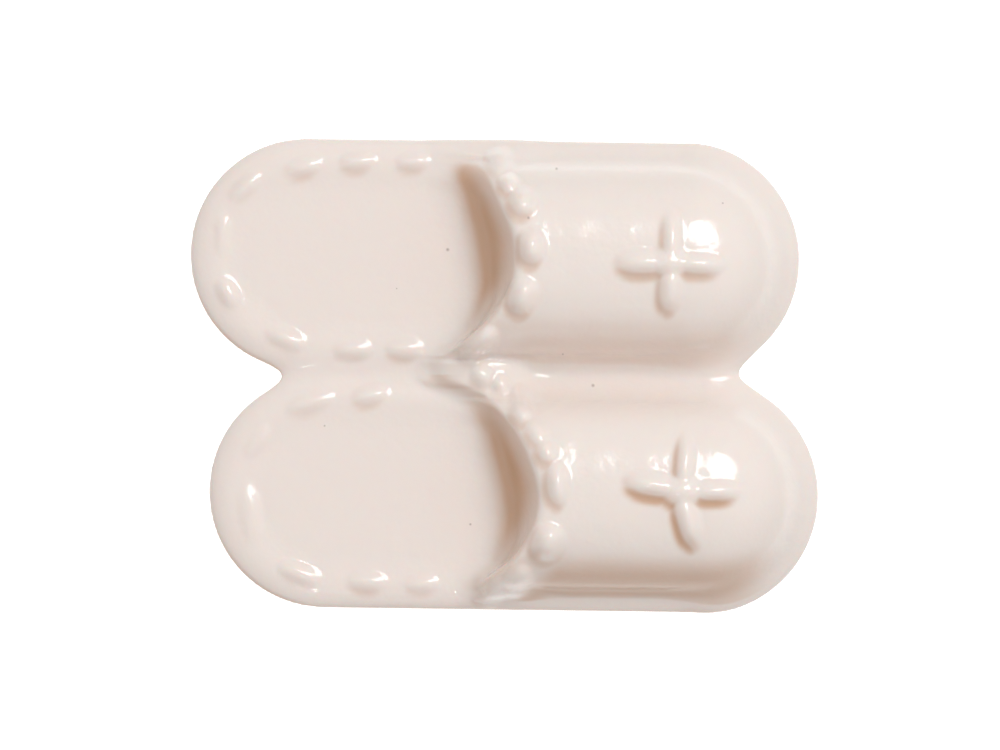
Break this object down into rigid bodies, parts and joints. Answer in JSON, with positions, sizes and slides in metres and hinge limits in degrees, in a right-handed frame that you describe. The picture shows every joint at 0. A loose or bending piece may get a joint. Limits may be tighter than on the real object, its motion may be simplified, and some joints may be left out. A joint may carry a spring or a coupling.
{
  "type": "novelty slipper sewing button",
  "caption": "Glossy cream moulded button shaped as a pair of slippers side by side, with beaded throats, toe crosses, stitched insoles and a wire shank loop behind.",
  "frame": {"origin": "under the middle of the outline, at the tip of the shank loop, which is the lowest point", "axes": "+X along the slippers from heel to toe, +Y across them towards the left slipper, +Z out of the face, away from the cloth"},
  "size_m": [0.0286, 0.0214, 0.0107],
  "materials": {
    "moulding": "glossy, slightly translucent cream white",
    "shank_wire": "drawn wire, satin"
  },
  "bodies": {
    "root": {"left_sole": "moulding", "right_sole": "moulding", "left_vamp": "moulding", "right_vamp": "moulding", "left_throat_beads": "moulding", "right_throat_beads": "moulding", "left_toe_cross": "moulding", "right_toe_cross": "moulding", "left_heel_stitches": "moulding", "right_heel_stitches": "moulding", "shank_boss": "moulding", "shank_loop": "shank_wire"}
  },
  "joints": []
}
